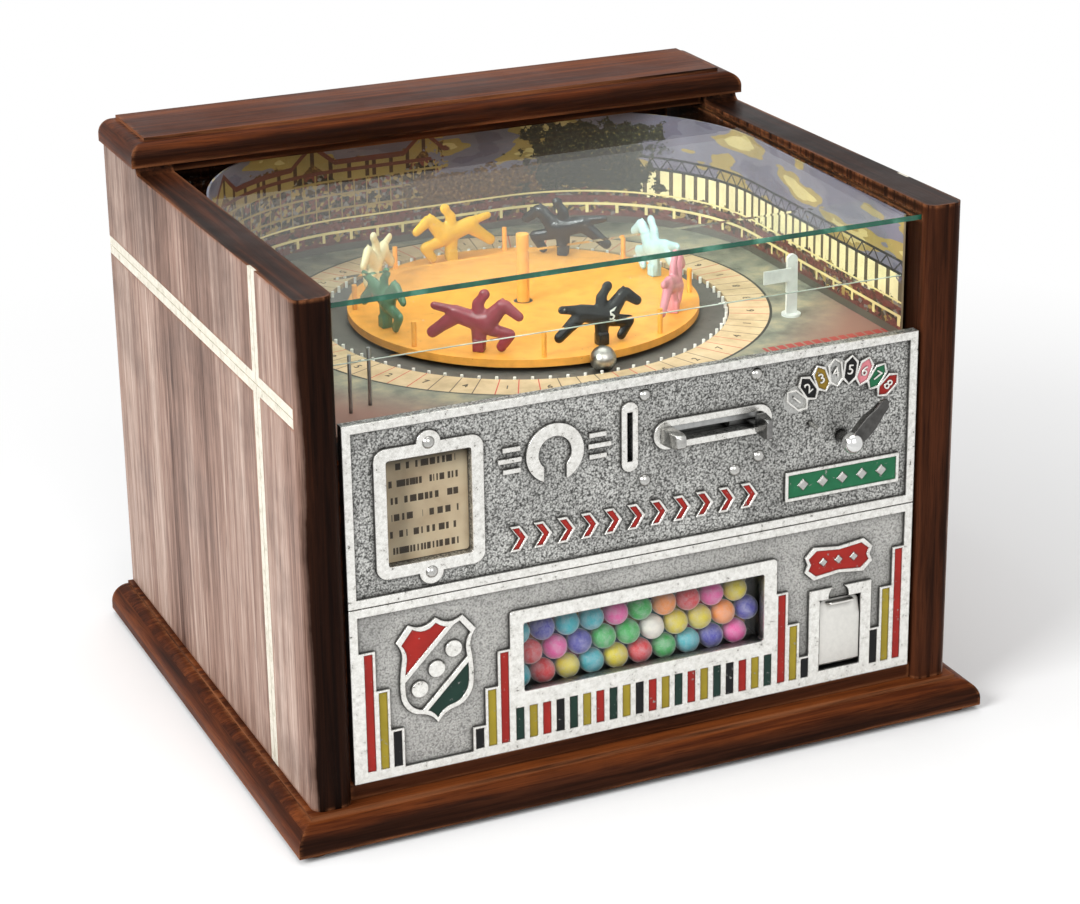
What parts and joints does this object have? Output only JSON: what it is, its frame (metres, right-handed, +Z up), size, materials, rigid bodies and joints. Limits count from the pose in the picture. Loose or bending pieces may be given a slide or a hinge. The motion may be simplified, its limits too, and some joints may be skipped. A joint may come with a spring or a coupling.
{
  "type": "trade stimulator",
  "caption": "Counter-top wooden game cabinet with cast metal front, ball-gum window and door, dial, play lever, and a glazed racecourse with a turning table of horses.",
  "frame": {"origin": "middle of the footprint, on the surface it stands on", "axes": "+X to the right of someone facing the front, +Y to the rear, +Z up; the front faces -Y"},
  "size_m": [0.376, 0.316, 0.288],
  "materials": {
    "cabinet_wood": "satin varnish, worn",
    "pale_inlay": "satin varnish",
    "cast_aluminium": "cast, lightly polished",
    "red_enamel": "gloss enamel",
    "yellow_enamel": "gloss enamel",
    "black_enamel": "gloss enamel",
    "green_enamel": "gloss enamel",
    "printed_card": "printed card",
    "clear_glass": "clear",
    "bright_steel": "bright",
    "tinplate": "dull",
    "gear_brass": "machined",
    "gum_coating": "sugar coating in mixed colours",
    "board_paint": "flat paint",
    "orange_paint": "semi-gloss",
    "cream_paint": "semi-gloss",
    "black_paint": "semi-gloss",
    "yellow_paint": "semi-gloss",
    "pale_blue_paint": "semi-gloss",
    "pink_paint": "semi-gloss",
    "sage_green_paint": "semi-gloss",
    "maroon_paint": "semi-gloss"
  },
  "bodies": {
    "cabinet": {"base_board": "cabinet_wood", "base_feet": "cabinet_wood", "side_panel_left": "cabinet_wood", "side_panel_right": "cabinet_wood", "side_inlays": "pale_inlay", "front_rail": "cabinet_wood", "top_rail": "cabinet_wood", "header_board": "cabinet_wood", "battens": "cabinet_wood", "upper_front_panel": "cast_aluminium", "lower_front_panel": "cast_aluminium", "panel_rivets": "cast_aluminium", "instruction_card": "printed_card", "panel_panes": "clear_glass", "enamel_red": "red_enamel", "enamel_yellow": "yellow_enamel", "enamel_black": "black_enamel", "enamel_green": "green_enamel", "finger_post": "bright_steel", "rack_guide": "tinplate", "return_spring": "bright_steel", "gum_hopper": "tinplate", "gum_balls": "gum_coating", "gum_cup": "tinplate", "coin_chute": "tinplate", "coin_box": "tinplate", "mechanism_plate": "tinplate", "shaft_bushes": "gear_brass", "playfield_board": "board_paint", "playfield_card": "printed_card", "track_pins": "cast_aluminium", "top_glass": "clear_glass", "inner_glass": "clear_glass", "gate_wires": "bright_steel", "finish_post": "bright_steel", "backdrop": "printed_card", "hinge_pins": "bright_steel"},
    "turntable": {"turntable": "orange_paint", "turntable_posts": "orange_paint", "spindle": "bright_steel", "drive_pawl": "bright_steel", "horse_1": "cream_paint", "horse_2": "black_paint", "horse_3": "yellow_paint", "horse_4": "pale_blue_paint", "horse_5": "black_paint", "horse_6": "pink_paint", "horse_7": "sage_green_paint", "horse_8": "maroon_paint"},
    "ball": {"ball": "bright_steel"},
    "lever": {"play_lever": "bright_steel", "lever_rack": "gear_brass"},
    "idler": {"idler_shaft": "bright_steel", "idler_gear": "gear_brass", "gum_wheel": "cast_aluminium"},
    "pinion": {"spindle_pinion": "gear_brass"},
    "pointer": {"pointer": "bright_steel"},
    "gum_door": {"gum_door": "cast_aluminium"},
    "rear_door": {"rear_door": "cabinet_wood"},
    "lock": {"door_lock": "bright_steel"}
  },
  "joints": [
    {"name": "turntable_spin", "type": "hinge", "parent": "cabinet", "child": "turntable", "pos_m": [0, 0, 0.2], "axis": [0, 0, 1], "continuous": true},
    {"name": "ball_roll", "type": "hinge", "parent": "cabinet", "child": "ball", "pos_m": [0, 0, 0.2058], "axis": [0, 0, 1], "continuous": true},
    {"name": "lever_slide", "type": "slide", "parent": "cabinet", "child": "lever", "axis": [-1, 0, 0], "range_m": [0, 0.04], "stiffness_N_per_m": 50, "springref_m": -0.02, "deforming": ["return_spring"]},
    {"name": "idler_spin", "type": "hinge", "parent": "cabinet", "child": "idler", "pos_m": [0.05858, -0.0602, 0.178], "axis": [0, 0, 1], "range_deg": [-34.8, 0]},
    {"name": "pinion_spin", "type": "hinge", "parent": "cabinet", "child": "pinion", "pos_m": [0, 0, 0.178], "axis": [0, 0, 1], "range_deg": [0, 127.4]},
    {"name": "pointer_turn", "type": "hinge", "parent": "cabinet", "child": "pointer", "pos_m": [0.1105, -0.14, 0.1611], "axis": [0, -1, 0], "range_deg": [0, 96.25]},
    {"name": "gum_door_swing", "type": "hinge", "parent": "cabinet", "child": "gum_door", "pos_m": [0.112, -0.137, 0.0373], "axis": [1, 0, 0], "range_deg": [0, 45]},
    {"name": "rear_door_swing", "type": "hinge", "parent": "cabinet", "child": "rear_door", "pos_m": [-0.1485, 0.146, 0.148], "axis": [0, 0, 1], "range_deg": [0, 88]},
    {"name": "lock_turn", "type": "hinge", "parent": "rear_door", "child": "lock", "pos_m": [0.135, 0.146, 0.15], "axis": [0, -1, 0], "range_deg": [0, 90]}
  ],
  "couplings": [
    {"joint": "idler_spin", "follows": "lever_slide", "rad_per_m": -15.152},
    {"joint": "pinion_spin", "follows": "lever_slide", "rad_per_m": 55.556}
  ]
}
